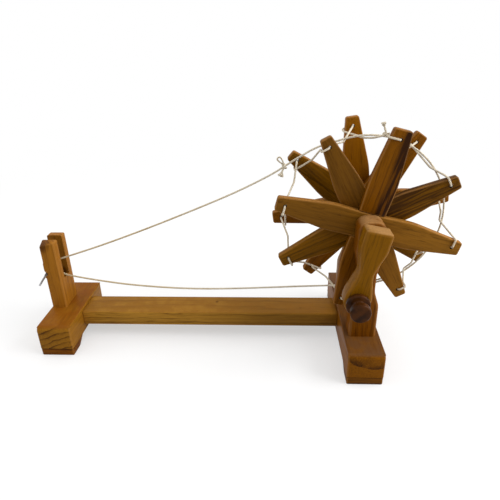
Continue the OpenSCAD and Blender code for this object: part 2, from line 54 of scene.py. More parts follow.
# Camera, found from the photo's straight edges: its angles in degrees, its lens in mm
CAMERA_PLACE = Vector((20.70, -288.56, 210.42)) * MM
CAMERA_TURN = 2.71
CAMERA_DIP = 25.44
CAMERA_LEAN = -1.04
CAMERA_LENS = 32.91
CAMERA_NEAR = 10 * MM

# Wheel, as the frame has it: the planks of a star, their angles in degrees, and in mm how
# far each sits off centre along its length and how wide its ends are
PLANKS = 4
ENDS = 2 * PLANKS
FRONT_ANGLES = (-14.9, 26.6, 75.5, 117.9)
REAR_ANGLES = (7.5, 54.8, 98, 141.5)
FRONT_SLIPS = (1, 0, 1, 0.4)
REAR_SLIPS = (0.8, 1.6, 1.6, 0.8)
FRONT_TIPS = (8.8, 8.2, 11.2, 7.4, 9.2, 8.4, 7, 7.6)
REAR_TIPS = (8.2, 8.2, 8.4, 7, 8.2, 8.2, 8.2, 7.4)
PLANK_R = 61.5 * MM
HOLE_R = 55.6 * MM
BELLY_W = 18.4 * MM
BELLY_R = 27 * MM

# Cords
CORD_D = 1.2 * MM
SHOWN_D = 1.35 * MM
CORD_ROOM = 0.3 * MM
LACING_DIP = 3.6 * MM
HELD_SHARES = (0.3, 0.7)
FREE_SHARES = (0.5,)
REAR_WRAP_DROP = 2.6 * MM
BAND_WHEEL_R = 53.7 * MM
BAND_LOOP_R = 1.8 * MM
SPINDLE_H = 55 * MM
CORNER_REACH = 0.9 * MM
CORNER_PARTS = 2.2
HOLE_LEAN = 0.42 * MM
LAY_LENGTH = 4.4 * MM
LAY_STEPS = 8.0
PLIES = 5
PLY_SIDES = 6


def middle(node):
    """Middle of a node's box."""
    low, high = (Vector(corner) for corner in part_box(node))
    return (low + high) / 2


AXLE = middle("axle")
KNOB = middle("crank_knob")
CRANK_LEAN = math.degrees(math.atan2(AXLE.x - KNOB.x, AXLE.z - KNOB.z))


# Camera


def place_camera():
    camera = bpy.data.objects.new("Camera", bpy.data.cameras.new("Camera"))
    camera.data.lens = CAMERA_LENS
    camera.data.clip_start = CAMERA_NEAR
    turn = Matrix.Rotation(math.radians(CAMERA_TURN), 4, "Z")
    dip = Matrix.Rotation(math.radians(90 - CAMERA_DIP), 4, "X")
    lean = Matrix.Rotation(math.radians(CAMERA_LEAN), 4, "Z")
    camera.matrix_world = Matrix.Translation(CAMERA_PLACE) @ turn @ dip @ lean
    bpy.context.scene.collection.objects.link(camera)
    bpy.context.scene.camera = camera


place_camera()


# Node trees


def add_node(tree, kind, inputs=None, **settings):
    """Adds a node, makes its settings and fills its inputs with values or links."""
    node = tree.nodes.new(kind)
    for name, value in settings.items():
        setattr(node, name, value)
    for key, value in (inputs or {}).items():
        if isinstance(value, bpy.types.NodeSocket):
            tree.links.new(value, node.inputs[key])
        else:
            node.inputs[key].default_value = value
    return node


def linear(hex_colour):
    """Linear colour of an sRGB hex code."""
    parts = [int(hex_colour[i:i + 2], 16) / 255 for i in (1, 3, 5)]
    return tuple(c / 12.92 if c <= 0.04045 else ((c + 0.055) / 1.055) ** 2.4 for c in parts) + (1,)


def new_material(name):
    material = bpy.data.materials.new(name)
    material.use_nodes = True
    material.node_tree.nodes.clear()
    return material, material.node_tree


def finish_material(tree, inputs):
    shader = add_node(tree, "ShaderNodeBsdfPrincipled", inputs)
    add_node(tree, "ShaderNodeOutputMaterial", {"Surface": shader.outputs["BSDF"]})


def per_metre(size):
    """Scale of a noise pattern whose blotches are about this size."""
    return 1 / size


def ring_scale(spacing):
    """Scale of a wave pattern whose rings lie this far apart."""
    return math.pi / 10 / spacing


def maths(tree, operation, first, second):
    return add_node(tree, "ShaderNodeMath", {0: first, 1: second}, operation=operation).outputs[0]


def ramp(tree, value, low, high, to_low=0.0, to_high=1.0):
    """Value taken smoothly from between low and high to between to_low and to_high."""
    inputs = {"Value": value, "From Min": low, "From Max": high, "To Min": to_low, "To Max": to_high}
    return add_node(tree, "ShaderNodeMapRange", inputs, interpolation_type="SMOOTHSTEP").outputs["Result"]


def blend(tree, share, first, second):
    """Colour between two, by a share from 0 to 1."""
    inputs = {"Factor": share, 6: first, 7: second}
    return add_node(tree, "ShaderNodeMix", inputs, data_type="RGBA").outputs[2]


def stretched(tree, coords, along):
    """Coordinates squeezed along x, so that a pattern on them is drawn out that way."""
    inputs = {0: coords, 1: (along, 1, 1)}
    return add_node(tree, "ShaderNodeVectorMath", inputs, operation="MULTIPLY").outputs[0]


def noise(tree, coords, size, detail=2.0, roughness=0.5):
    inputs = {"Vector": coords, "Scale": per_metre(size), "Detail": detail, "Roughness": roughness}
    return add_node(tree, "ShaderNodeTexNoise", inputs, noise_dimensions="3D")


# Materials

# Patterns of the teak, each as its size and how far it is squeezed along the grain
SWAY = (22 * MM, 0.16)
RIPPLE = (5 * MM, 0.2)
BANDS = (7 * MM, 0.04)
FIBRES = (0.9 * MM, 0.03)
PORES = (0.8 * MM, 0.1)
STREAKS = (1.9 * MM, 0.05)
PATCH_SIZE = 11 * MM
RING_SPACING = 4.2 * MM
RING_SWAY = 3.2 * MM
RING_RIPPLE = 2.4 * MM
LATE_WOOD_POWER = 4.0

# Ramps of the teak, each from two values of a pattern to two shares
PORE_RAMP = (0.62, 0.74, 0.0, 1.0)
LINE_RAMP = (0.3, 0.6, 0.4, 1.0)
FIBRE_RAMP = (0.35, 0.7, -0.14, 0.3)
STREAK_RAMP = (0.36, 0.6, 0.35, 1.0)
# Patches and fibres of the painted top light
TOP_LIGHT_PATCH_RAMP = (0.35, 0.6, 0.55, 1.0)
TOP_LIGHT_FIBRE_RAMP = (0.3, 0.7, 1.0, 0.7)
# Pale eased edges: partly wear, partly a painted highlight
EDGE_WEAR_AND_GLINT_RAMP = (0.25, 0.75, 0.2, 0.6)
ROUGHNESS_RAMP = (0.3, 0.7, 0.38, 0.5)

# Ranges of ramps whose shares are set where they are used: how far a face looks along the
# grain or up, the values of dark bands, and where along the grain heartwood comes in
END_FACE = (0.5, 0.9)
UPPER_FACE = (0.4, 0.9)
DARK_BANDS = (0.35, 0.75)
HEARTWOOD_FADE = (-18 * MM, 6 * MM)

# Depths and colours of the teak's marks
BAND_SHARE = 0.25
PORE_SHARE = 0.28
SPOT_CORE = 0.3
SPOT_DEPTH = 0.9
# How far dirty seams, and the painted shade in holes and the fork's slot, go to that dark
SEAM_AND_SHADE_DEPTH = 0.85
PORE_BUMP = -0.8
BUMP_HEIGHT = 0.1 * MM
HEARTWOOD_COLOUR = "#301806"
# Colour of the pale eased edges, partly wear and partly a painted highlight
EDGE_WEAR_AND_GLINT_COLOUR = "#b98448"
# Dark of dirty seams, also laid as painted shade in holes and the fork's slot
SEAM_AND_SHADE_COLOUR = "#1d0f05"
GRAIN_TURNS = {
    "x": (0, 0, 0),
    "y": (0, 0, math.radians(90)),
    "z": (0, math.radians(-90), 0),
}


def grain_at(angle):
    """Turn of a grain that runs at this angle to x in the wheel's plane."""
    return (0, math.radians(-angle), 0)


def grain_noise(tree, coords, pattern, detail=2.0, roughness=0.5):
    """Noise in a pattern of the grain, which runs along x."""
    size, squeeze = pattern
    return noise(tree, stretched(tree, coords, squeeze), size, detail, roughness)


def teak(name, pale, dark, turn, pith, spacing=RING_SPACING, figure=0.5, end_figure=0.5, heartwood=None,
         spots=(), painted_top_light=None, soiled_and_shaded=None):
    """Teak under a thin satin varnish, cut from one trunk: growth rings round a pith line
    that the grain follows, so a long face shows lines and an end face shows arcs, with fine
    fibres and short open pores. Eased edges are paler, partly worn by handling and partly a
    painted highlight, and seams hold dark dirt; holes and the fork's slot take that dark as
    painted shade. The fibres and pores are drawn coarser than real ones, which would be finer
    than a pixel.
    Heartwood is a dark streak: where across the trunk it starts and is full, and its depth.
    Spots are dark knots, stains and painted shade, each as its place and radius. A painted
    top light is the colour that the faces that look up take, in patches, and how far: paler
    as painted light on the planks, the front post and the crank, darker as painted shade on
    the feet and beam. Darkening along x is painted shade on the planks and the beam, less so
    on the faces that look up: where it starts and is full, and its depth.
    """
    material, tree = new_material(name)
    place = add_node(tree, "ShaderNodeTexCoord")
    trunk = add_node(tree, "ShaderNodeMapping", {
        "Vector": place.outputs["Object"], "Location": pith, "Rotation": turn,
    }, vector_type="TEXTURE").outputs["Vector"]
    along = Matrix.Rotation(turn[2], 3, "Z") @ Matrix.Rotation(turn[1], 3, "Y") @ Vector((1, 0, 0))
    facing = add_node(tree, "ShaderNodeVectorMath", {
        0: place.outputs["Normal"], 1: along,
    }, operation="DOT_PRODUCT").outputs["Value"]
    facing = maths(tree, "ABSOLUTE", facing, 0.0)

    wander = grain_noise(tree, trunk, SWAY).outputs["Color"]
    wander = add_node(tree, "ShaderNodeVectorMath", {0: wander, 1: (0.5, 0.5, 0.5)}, operation="SUBTRACT")
    sway = add_node(tree, "ShaderNodeVectorMath", {
        0: wander.outputs[0], 1: (2 * RING_SWAY,) * 3, 2: trunk,
    }, operation="MULTIPLY_ADD").outputs[0]
    ripple = grain_noise(tree, trunk, RIPPLE).outputs["Color"]
    sway = add_node(tree, "ShaderNodeVectorMath", {
        0: ripple, 1: (RING_RIPPLE,) * 3, 2: sway,
    }, operation="MULTIPLY_ADD").outputs[0]
    rings = add_node(tree, "ShaderNodeTexWave", {
        "Vector": sway, "Scale": ring_scale(spacing), "Distortion": 0.0,
    }, wave_type="RINGS", rings_direction="X", wave_profile="SAW").outputs["Fac"]
    late_wood = maths(tree, "POWER", rings, LATE_WOOD_POWER)
    bands = grain_noise(tree, sway, BANDS, detail=1.0).outputs["Fac"]
    fibres = grain_noise(tree, sway, FIBRES, detail=3.0, roughness=0.6).outputs["Fac"]
    pores = grain_noise(tree, trunk, PORES, detail=1.0).outputs["Fac"]
    pores = ramp(tree, pores, *PORE_RAMP)

    lines = ramp(tree, facing, *END_FACE, figure, end_figure)
    lines = maths(tree, "MULTIPLY", lines, ramp(tree, bands, *LINE_RAMP))
    shade = maths(tree, "MULTIPLY", late_wood, lines)
    shade = maths(tree, "ADD", shade, ramp(tree, bands, *DARK_BANDS, 0.0, BAND_SHARE * figure))
    shade = maths(tree, "ADD", shade, ramp(tree, fibres, *FIBRE_RAMP))
    shade = maths(tree, "ADD", shade, maths(tree, "MULTIPLY", pores, PORE_SHARE))
    # Dark spots: knots and stains, and painted shade at the foot of the fork's slot
    stain_and_shade = 0.0
    for spot, radius in spots:
        away = add_node(tree, "ShaderNodeVectorMath", {
            0: place.outputs["Object"], 1: spot,
        }, operation="DISTANCE").outputs["Value"]
        stain_and_shade = maths(tree, "MAXIMUM", stain_and_shade, ramp(tree, away, SPOT_CORE * radius, radius, SPOT_DEPTH, 0.0))
    shade = maths(tree, "ADD", shade, stain_and_shade)
    shade = add_node(tree, "ShaderNodeClamp", {"Value": shade}).outputs[0]
    colour = blend(tree, shade, linear(pale), linear(dark))

    if heartwood:
        start, full, depth = heartwood
        parts = add_node(tree, "ShaderNodeSeparateXYZ", {0: sway}).outputs
        region = ramp(tree, parts["Z"], start, full, 0.0, depth)
        region = maths(tree, "MULTIPLY", region, ramp(tree, parts["X"], *HEARTWOOD_FADE))
        streaks = grain_noise(tree, sway, STREAKS).outputs["Fac"]
        streaks = maths(tree, "MULTIPLY", region, ramp(tree, streaks, *STREAK_RAMP))
        streaks = add_node(tree, "ShaderNodeClamp", {"Value": streaks}).outputs[0]
        colour = blend(tree, streaks, colour, linear(HEARTWOOD_COLOUR))
    # Darkening along x, which is painted shade on the planks and the beam
    if soiled_and_shaded:
        start, full, depth = soiled_and_shaded
        across = add_node(tree, "ShaderNodeSeparateXYZ", {0: place.outputs["Object"]}).outputs["X"]
        colour = blend(tree, ramp(tree, across, start, full, 0.0, depth), colour, linear(dark))
    # Faces that look up take a colour in patches: painted top light, paler on planks, post and crank,
    # darker on feet and beam
    if painted_top_light:
        top_colour, share = painted_top_light
        height = add_node(tree, "ShaderNodeSeparateXYZ", {0: place.outputs["Normal"]}).outputs["Z"]
        top_light = ramp(tree, height, *UPPER_FACE, 0.0, share)
        patches = noise(tree, place.outputs["Object"], PATCH_SIZE, detail=3.0, roughness=0.6).outputs["Fac"]
        top_light = maths(tree, "MULTIPLY", top_light, ramp(tree, patches, *TOP_LIGHT_PATCH_RAMP))
        top_light = maths(tree, "MULTIPLY", top_light, ramp(tree, fibres, *TOP_LIGHT_FIBRE_RAMP))
        colour = blend(tree, top_light, colour, linear(top_colour))
    # Eased edges go paler, partly worn by handling and partly a painted highlight
    edge_wear_and_glint = add_node(tree, "ShaderNodeAttribute", attribute_name="edge_wear_and_glint").outputs["Fac"]
    edge_wear_and_glint = maths(tree, "MULTIPLY", edge_wear_and_glint, ramp(tree, bands, *EDGE_WEAR_AND_GLINT_RAMP))
    edge_wear_and_glint = maths(tree, "MULTIPLY", edge_wear_and_glint, maths(tree, "SUBTRACT", 1.0, stain_and_shade))
    colour = blend(tree, edge_wear_and_glint, colour, linear(EDGE_WEAR_AND_GLINT_COLOUR))
    # Seams darken with dirt; holes and the fork's slot darken the same way as painted shade
    dirt_and_shade = add_node(tree, "ShaderNodeAttribute", attribute_name="seam").outputs["Fac"]
    colour = blend(tree, maths(tree, "MULTIPLY", dirt_and_shade, SEAM_AND_SHADE_DEPTH), colour, linear(SEAM_AND_SHADE_COLOUR))

    bump = add_node(tree, "ShaderNodeBump", {
        "Height": maths(tree, "ADD", fibres, maths(tree, "MULTIPLY", pores, PORE_BUMP)),
        "Strength": 0.18, "Distance": BUMP_HEIGHT,
    })
    finish_material(tree, {
        "Base Color": colour, "Roughness": ramp(tree, bands, *ROUGHNESS_RAMP),
        "Specular IOR Level": 0.04, "Coat Weight": 0.03, "Coat Roughness": 0.2,
        "Normal": bump.outputs["Normal"],
    })
    return material


# Knob and steel, each between two tones
TONE_RANGE = (0.35, 0.7)
KNOB_TONE = ("#4a280c", "#2a1507")
TOOL_SPACING = 0.9 * MM
TURNED_FIBRES = (7 * MM, 0.1)
STEEL_TONE = ("#b4b4b7", "#85837f")
SMUDGE_SIZE = 4 * MM
DRAW_LINES = (0.4 * MM, 0.05)
DRAW_RAMP = (0.3, 0.7, 0.3, 0.5)

# Cotton, and how far each cord is soiled at the spindle and at the wheel
COTTON_COLOUR = "#eee5d2"
SOILED_COLOUR = "#c7a970"
CORD_SOIL_SIZE = 9 * MM
CORD_SOIL_RAMP = (0.35, 0.75, 0.0, 0.25)
CORD_SOIL_REACH = (-90 * MM, 30 * MM)
LACING_SOIL = (0.1, 0.1)
BAND_SOIL = (0.6, 0.1)
FUZZ_COLOUR = "#c4b490"
FUZZ_SIZE = 0.35 * MM
FUZZ_RAMP = (0.3, 0.7, 0.0, 0.2)


def knob_wood():
    """Dark hardwood turned on a lathe: fine rings round the knob's own line from the tool,
    a dark brown and a soft polish.
    """
    material, tree = new_material("dark turned hardwood")
    place = add_node(tree, "ShaderNodeTexCoord").outputs["Object"]
    turned = add_node(tree, "ShaderNodeMapping", {
        "Vector": place, "Location": KNOB, "Rotation": GRAIN_TURNS["y"],
    }, vector_type="TEXTURE").outputs["Vector"]
    tool = add_node(tree, "ShaderNodeTexWave", {
        "Vector": turned, "Scale": ring_scale(TOOL_SPACING), "Distortion": 0.0,
    }, wave_type="BANDS", bands_direction="X").outputs["Fac"]
    fibres = grain_noise(tree, turned, TURNED_FIBRES).outputs["Fac"]
    colour = blend(tree, ramp(tree, fibres, *TONE_RANGE), *map(linear, KNOB_TONE))
    bump = add_node(tree, "ShaderNodeBump", {"Height": tool, "Strength": 0.12, "Distance": BUMP_HEIGHT})
    finish_material(tree, {
        "Base Color": colour, "Roughness": 0.3, "Specular IOR Level": 0.02,
        "Coat Weight": 0.1, "Coat Roughness": 0.1, "Normal": bump.outputs["Normal"],
    })
    return material


def drawn_steel(name, turn):
    """Bare steel wire, dulled by handling: draw lines along its length and grey smudges."""
    material, tree = new_material(name)
    place = add_node(tree, "ShaderNodeTexCoord").outputs["Object"]
    wire = add_node(tree, "ShaderNodeMapping", {
        "Vector": place, "Rotation": turn,
    }, vector_type="TEXTURE").outputs["Vector"]
    lines = grain_noise(tree, wire, DRAW_LINES).outputs["Fac"]
    smudges = noise(tree, place, SMUDGE_SIZE).outputs["Fac"]
    colour = blend(tree, ramp(tree, smudges, *TONE_RANGE), *map(linear, STEEL_TONE))
    finish_material(tree, {
        "Base Color": colour, "Metallic": 1.0, "Roughness": ramp(tree, lines, *DRAW_RAMP),
    })
    return material


def cotton(name, soiled_and_shaded):
    """Unbleached cotton cord: warm off white, tanned where hands and wood have soiled it,
    with no gloss at all.
    """
    material, tree = new_material(name)
    place = add_node(tree, "ShaderNodeTexCoord").outputs["Object"]
    across = add_node(tree, "ShaderNodeSeparateXYZ", {0: place}).outputs["X"]
    soil_and_shade = noise(tree, place, CORD_SOIL_SIZE).outputs["Fac"]
    soil_and_shade = ramp(tree, soil_and_shade, *CORD_SOIL_RAMP)
    soil_and_shade = maths(tree, "ADD", soil_and_shade, ramp(tree, across, *CORD_SOIL_REACH, *soiled_and_shaded))
    fuzz = noise(tree, place, FUZZ_SIZE).outputs["Fac"]
    colour = blend(tree, soil_and_shade, linear(COTTON_COLOUR), linear(SOILED_COLOUR))
    colour = blend(tree, ramp(tree, fuzz, *FUZZ_RAMP), colour, linear(FUZZ_COLOUR))
    finish_material(tree, {
        "Base Color": colour, "Roughness": 0.9, "Specular IOR Level": 0.1, "Sheen Weight": 0.3,
    })
    return material


# Sanded copies of the wooden pieces

MERGE = 0.002 * MM
FLAT_ANGLE = math.radians(1.5)
SMOOTH_ANGLE = math.radians(32)
SHARP_ANGLE = math.radians(60)
HOLE_REACH = 1.4 * MM
# Width at which the pale edge, wear and painted highlight, is at full strength
EDGE_WEAR_AND_GLINT_WIDTH = 0.6 * MM
SEAM_SEGMENTS = 2


def sharp_edges(shape):
    return [
        edge for edge in shape.edges
        if edge.is_manifold and edge.is_convex and edge.calc_face_angle() > SHARP_ANGLE
    ]


def ease_edges(shape, edges, ease, segments, mark, strength=1.0):
    """Rounds edges over and marks the new faces on a layer."""
    eased = bmesh.ops.bevel(
        shape, geom=edges, offset=ease, offset_type="OFFSET", segments=segments, profile=0.5,
        affect="EDGES", clamp_overlap=False,
    )
    for face in eased["faces"]:
        face[mark] = strength


def part_edges(shape, low, high):
    """Splits each sharp edge that ends between two heights where it comes in."""
    for edge in sharp_edges(shape):
        ends = [vert for vert in edge.verts if low < vert.co.z < high]
        if len(ends) == 1:
            start = edge.other_vert(ends[0])
            limit = min(max(start.co.z, low), high)
            bmesh.utils.edge_split(edge, start, (limit - start.co.z) / (ends[0].co.z - start.co.z))


def sanded(node, ease, body, material, segments=3, seam=None, inner=None, tight=None, seat=None):
    """A copy of a wooden node with its sharp outer edges eased, as sandpaper leaves them.
    The eased edges are marked for the material's pale edges, partly wear and partly a
    painted highlight. With a seam, the edges round the node's top are eased by that much
    instead and marked as a dirty seam. Inner gives the dark at a point inside a hole, slot
    or socket, which in the holes and the slot is painted shade; their own edges stay sharp.
    So do edges that lie between the two heights of a tight place, and edges at a seat or
    below it.
    """
    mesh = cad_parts[node].data.copy()
    mesh.name = node + "_sanded"
    shape = bmesh.new()
    shape.from_mesh(mesh)
    shape.transform(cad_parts[node].matrix_world)
    edge_wear_and_glint = shape.faces.layers.float.new("edge_wear_and_glint")
    dirt_and_shade_layer = shape.faces.layers.float.new("seam")
    bmesh.ops.remove_doubles(shape, verts=shape.verts, dist=MERGE)
    bmesh.ops.dissolve_limit(shape, angle_limit=FLAT_ANGLE, verts=shape.verts, edges=shape.edges)
    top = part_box(node)[1][2] if seam else math.inf
    low, high = tight or (math.inf, -math.inf)
    part_edges(shape, low, high)

    def outer(edge):
        ends = [vert.co for vert in edge.verts]
        on_top = all(end.z > top - MERGE for end in ends)
        seated = seat and all(end.z < seat + MERGE for end in ends)
        within = inner and all(inner(end) for end in ends)
        close = all(low - MERGE < end.z < high + MERGE for end in ends)
        return not (on_top or seated or within or close)

    edges = [edge for edge in sharp_edges(shape) if outer(edge)]
    ease_edges(shape, edges, ease, segments, edge_wear_and_glint, min(1, EDGE_WEAR_AND_GLINT_WIDTH / ease))
    if seam:
        edges = [edge for edge in sharp_edges(shape) if not outer(edge)]
        ease_edges(shape, edges, seam, SEAM_SEGMENTS, dirt_and_shade_layer)
    bmesh.ops.remove_doubles(shape, verts=shape.verts, dist=MERGE)
    for face in shape.faces:
        face.smooth = True
        # Faces in the holes and the fork's slot take painted shade; faces in the sockets take dirt
        if inner:
            face[dirt_and_shade_layer] = min(inner(vert.co) for vert in face.verts)
    for edge in shape.edges:
        edge.smooth = not edge.is_manifold or edge.calc_face_angle() < SMOOTH_ANGLE
    shape.to_mesh(mesh)
    shape.free()
    mesh.materials.clear()
    mesh.materials.append(material)
    piece = bpy.data.objects.new(node + "_sanded", mesh)
    bpy.context.scene.collection.objects.link(piece)
    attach(piece, body)
    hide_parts(node)


# Cords


def cord_tree():
    """Geometry Nodes tree that lays a number of plies round each route in helices."""
    tree = bpy.data.node_groups.new("Laid cord", "GeometryNodeTree")
    face = tree.interface
    face.new_socket("Geometry", in_out="INPUT", socket_type="NodeSocketGeometry")
    for name in ("Ply radius", "Ply offset", "Lay length"):
        face.new_socket(name, in_out="INPUT", socket_type="NodeSocketFloat")
    face.new_socket("Plies", in_out="INPUT", socket_type="NodeSocketInt")
    face.new_socket("Material", in_out="INPUT", socket_type="NodeSocketMaterial")
    face.new_socket("Geometry", in_out="OUTPUT", socket_type="NodeSocketGeometry")
    given = add_node(tree, "NodeGroupInput").outputs

    route = add_node(tree, "GeometryNodeMeshToCurve", {"Mesh": given["Geometry"]}).outputs["Curve"]
    step = maths(tree, "DIVIDE", given["Lay length"], LAY_STEPS)
    route = add_node(tree, "GeometryNodeResampleCurve", {
        "Curve": route, "Length": step,
    }, mode="LENGTH").outputs["Curve"]
    copies = add_node(tree, "GeometryNodeDuplicateElements", {
        "Geometry": route, "Amount": given["Plies"],
    }, domain="SPLINE").outputs

    along = add_node(tree, "GeometryNodeSplineParameter").outputs["Length"]
    turns = maths(tree, "DIVIDE", along, given["Lay length"])
    phase = maths(tree, "DIVIDE", copies["Duplicate Index"], given["Plies"])
    angle = maths(tree, "MULTIPLY", maths(tree, "ADD", turns, phase), 2 * math.pi)
    out = add_node(tree, "GeometryNodeInputNormal").outputs["Normal"]
    ahead = add_node(tree, "GeometryNodeInputTangent").outputs["Tangent"]
    offset = add_node(tree, "ShaderNodeVectorMath", {
        0: out, "Scale": given["Ply offset"],
    }, operation="SCALE").outputs[0]
    offset = add_node(tree, "ShaderNodeVectorRotate", {
        "Vector": offset, "Axis": ahead, "Angle": angle,
    }, rotation_type="AXIS_ANGLE").outputs[0]
    plies = add_node(tree, "GeometryNodeSetPosition", {
        "Geometry": copies["Geometry"], "Offset": offset,
    }).outputs["Geometry"]

    profile = add_node(tree, "GeometryNodeCurvePrimitiveCircle", {
        "Resolution": PLY_SIDES, "Radius": given["Ply radius"],
    }, mode="RADIUS").outputs["Curve"]
    mesh = add_node(tree, "GeometryNodeCurveToMesh", {
        "Curve": plies, "Profile Curve": profile, "Fill Caps": True,
    }).outputs["Mesh"]
    mesh = add_node(tree, "GeometryNodeRealizeInstances", {"Geometry": mesh}).outputs["Geometry"]
    mesh = add_node(tree, "GeometryNodeSetShadeSmooth", {"Geometry": mesh}).outputs["Geometry"]
    mesh = add_node(tree, "GeometryNodeSetMaterial", {
        "Geometry": mesh, "Material": given["Material"],
    }).outputs["Geometry"]
    add_node(tree, "NodeGroupOutput", {"Geometry": mesh})
    return tree


def laid(tree, routes, diameter, plies, material):
    """Mesh of cords along routes, each given as (points, closed)."""
    points, edges = [], []
    for route, closed in routes:
        first = len(points)
        points.extend(route)
        edges.extend((first + i, first + i + 1) for i in range(len(route) - 1))
        if closed:
            edges.append((len(points) - 1, first))
    lines = bpy.data.meshes.new("cord routes")
    lines.from_pydata(points, edges, [])
    source = bpy.data.objects.new("cord routes", lines)
    bpy.context.scene.collection.objects.link(source)
    share = math.sin(math.pi / plies) / (1 + math.sin(math.pi / plies)) if plies > 1 else 1
    ply_radius = diameter / 2 * share
    lay_length = LAY_LENGTH * diameter / CORD_D if plies > 1 else LAY_LENGTH
    values = {
        "Ply radius": ply_radius, "Ply offset": diameter / 2 - ply_radius,
        "Lay length": lay_length, "Plies": plies, "Material": material,
    }
    modifier = source.modifiers.new("Laid cord", "NODES")
    modifier.node_group = tree
    for item in tree.interface.items_tree:
        if item.in_out == "INPUT" and item.name in values:
            modifier[item.identifier] = values[item.name]
    seen = source.evaluated_get(bpy.context.evaluated_depsgraph_get())
    mesh = bpy.data.meshes.new_from_object(seen)
    bpy.data.objects.remove(source)
    bpy.data.meshes.remove(lines)
    return mesh


def softened(points, reach=CORNER_REACH, steps=4):
    """A closed route with each corner bent round over a short reach, or over one of a
    number of parts of a side that is shorter.
    """
    route = []
    for i, corner in enumerate(points):
        before = points[i - 1] - corner
        after = points[(i + 1) % len(points)] - corner
        start = corner + before.normalized() * min(reach, before.length / CORNER_PARTS)
        finish = corner + after.normalized() * min(reach, after.length / CORNER_PARTS)
        for k in range(steps + 1):
            t = k / steps
            route.append(start * (1 - t) ** 2 + corner * 2 * t * (1 - t) + finish * t ** 2)
    return route


def wheel_point(radius, angle, aside, y):
    """Point of the wheel at a radius, an angle and a distance along the rim past it."""
    turn = math.radians(angle)
    out = Vector((math.cos(turn), 0, math.sin(turn)))
    past = Vector((-math.sin(turn), 0, math.cos(turn)))
    return Vector((AXLE.x, y, AXLE.z)) + out * radius + past * aside


def wrap_aside(tip, reach):
    """Distance from a plank's middle line to the cord that wraps its edge."""
    half = tip * MM / 2
    growth = (BELLY_W / 2 - half) / (PLANK_R - BELLY_R)
    return half + growth * (PLANK_R - reach) + CORD_D / 2 + CORD_ROOM


def end_angle(angles, step):
    return angles[step % PLANKS] + 180 * (step // PLANKS)


def end_r(slips, step):
    """Radius of the lacing hole at a step round a star."""
    return HOLE_R + slips[step % PLANKS] * MM * (1 if step % ENDS < PLANKS else -1)


def plank_faces(star, step):
    """Front and back of the plank at a step round a star, with room for the cord."""
    low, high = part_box("%s_plank_%d" % (star, step % 4 + 1))
    room = CORD_D / 2 + CORD_ROOM
    return low[1] - room, high[1] + room


WHEEL_Y = (plank_faces("front", 1)[1] + plank_faces("rear", 1)[0]) / 2


def pressed(start, finish):
    """Points between two angles where the lacing dips below the band's circle. The band
    holds a strand that it lies on down over a longer part.
    """
    halfway = (start + finish) / 2
    turned = halfway - 360 if halfway > 180 else halfway
    held = BAND_WHEEL_ARC[1] < turned < BAND_WHEEL_ARC[0]
    angles = [start + share * (finish - start) for share in (HELD_SHARES if held else FREE_SHARES)]
    return [wheel_point(HOLE_R - LACING_DIP, angle, 0, WHEEL_Y) for angle in angles]


def lacing_route():
    """The lacing's zigzag: through a front plank's hole, round its edge, over to the
    next rear plank, round that and through its hole, eight times. Pulled tight, it leans
    on one side of each hole, so the rest of the hole shows dark.
    """
    points = []
    for step in range(ENDS):
        front = end_angle(FRONT_ANGLES, step)
        rear = end_angle(REAR_ANGLES, step)
        front_r = end_r(FRONT_SLIPS, step)
        rear_r = end_r(REAR_SLIPS, step)
        aside = wrap_aside(FRONT_TIPS[step], HOLE_R)
        rear_aside = wrap_aside(REAR_TIPS[step], HOLE_R - REAR_WRAP_DROP)
        front_out, front_in = plank_faces("front", step)
        rear_in, rear_out = plank_faces("rear", step)
        points += [
            wheel_point(front_r, front, HOLE_LEAN, front_in),
            wheel_point(front_r, front, HOLE_LEAN, front_out),
            wheel_point(front_r, front, aside, front_out),
            wheel_point(front_r, front, aside, front_in),
        ]
        points += pressed(front + math.degrees(math.atan(aside / front_r)), rear)
        points += [
            wheel_point(rear_r - REAR_WRAP_DROP, rear, rear_aside, rear_in),
            wheel_point(rear_r - REAR_WRAP_DROP, rear, rear_aside, rear_out),
            wheel_point(rear_r, rear, HOLE_LEAN, rear_out),
            wheel_point(rear_r, rear, HOLE_LEAN, rear_in),
        ]
        points += pressed(rear, end_angle(FRONT_ANGLES, step + 1))
    return softened(points)


# Free runs of the band as shares of the way and heights off the straight line in mm, and
# its arcs as two angles in degrees and a number of steps
BAND_UPPER_RUN = (
    (0.036, 0.1), (0.182, -2.6), (0.333, -4.3), (0.485, -5.1), (0.636, -5.2),
    (0.73, -4.2), (0.791, -2.7), (0.82, -1.3), (0.872, 0.9), (0.924, 2.1),
)
BAND_LOWER_RUN = (
    (0.094, -2.3), (0.19, -4.5), (0.303, -7.3), (0.416, -9.9), (0.529, -11.7),
    (0.641, -12.1), (0.754, -11.3), (0.859, -9.1), (0.932, -6.8), (0.958, -5.5),
)
BAND_WHEEL_ARC = (106, -86, 48)
BAND_SPINDLE_ARC = (250, 112, 8)
BAND_KNOT_STEP = 7

# Knots and loose ends, their points in mm from the knot: to the right, the back and up.
# The lacing is tied at one plank end of the front star.
KNOT_SIZE = 1.9 * MM
KNOT_STEPS = 36
LACING_KNOT_END = 2
LACING_KNOT_ASIDE = 0.4 * MM
LACING_KNOT_BACK = 0.8 * MM
LACING_TAIL = ((0, 0, 0), (-0.4, 0.5, 1.8), (-1.0, 0.8, 3.6))
BAND_TAIL = ((0, 0, 0), (-0.7, -0.5, -1.4), (-1.1, -0.7, -2.6))
BAND_BOW = (
    (0, 0, 0), (-0.6, -0.5, 2.2), (-1.9, -0.8, 5.2), (-3.4, -0.9, 6.3), (-4.7, -0.7, 4.9),
    (-3.4, -0.4, 3.2), (-1.2, -0.2, 1.6), (0, 0, 0.2),
)
BOW_D = 0.8 * SHOWN_D

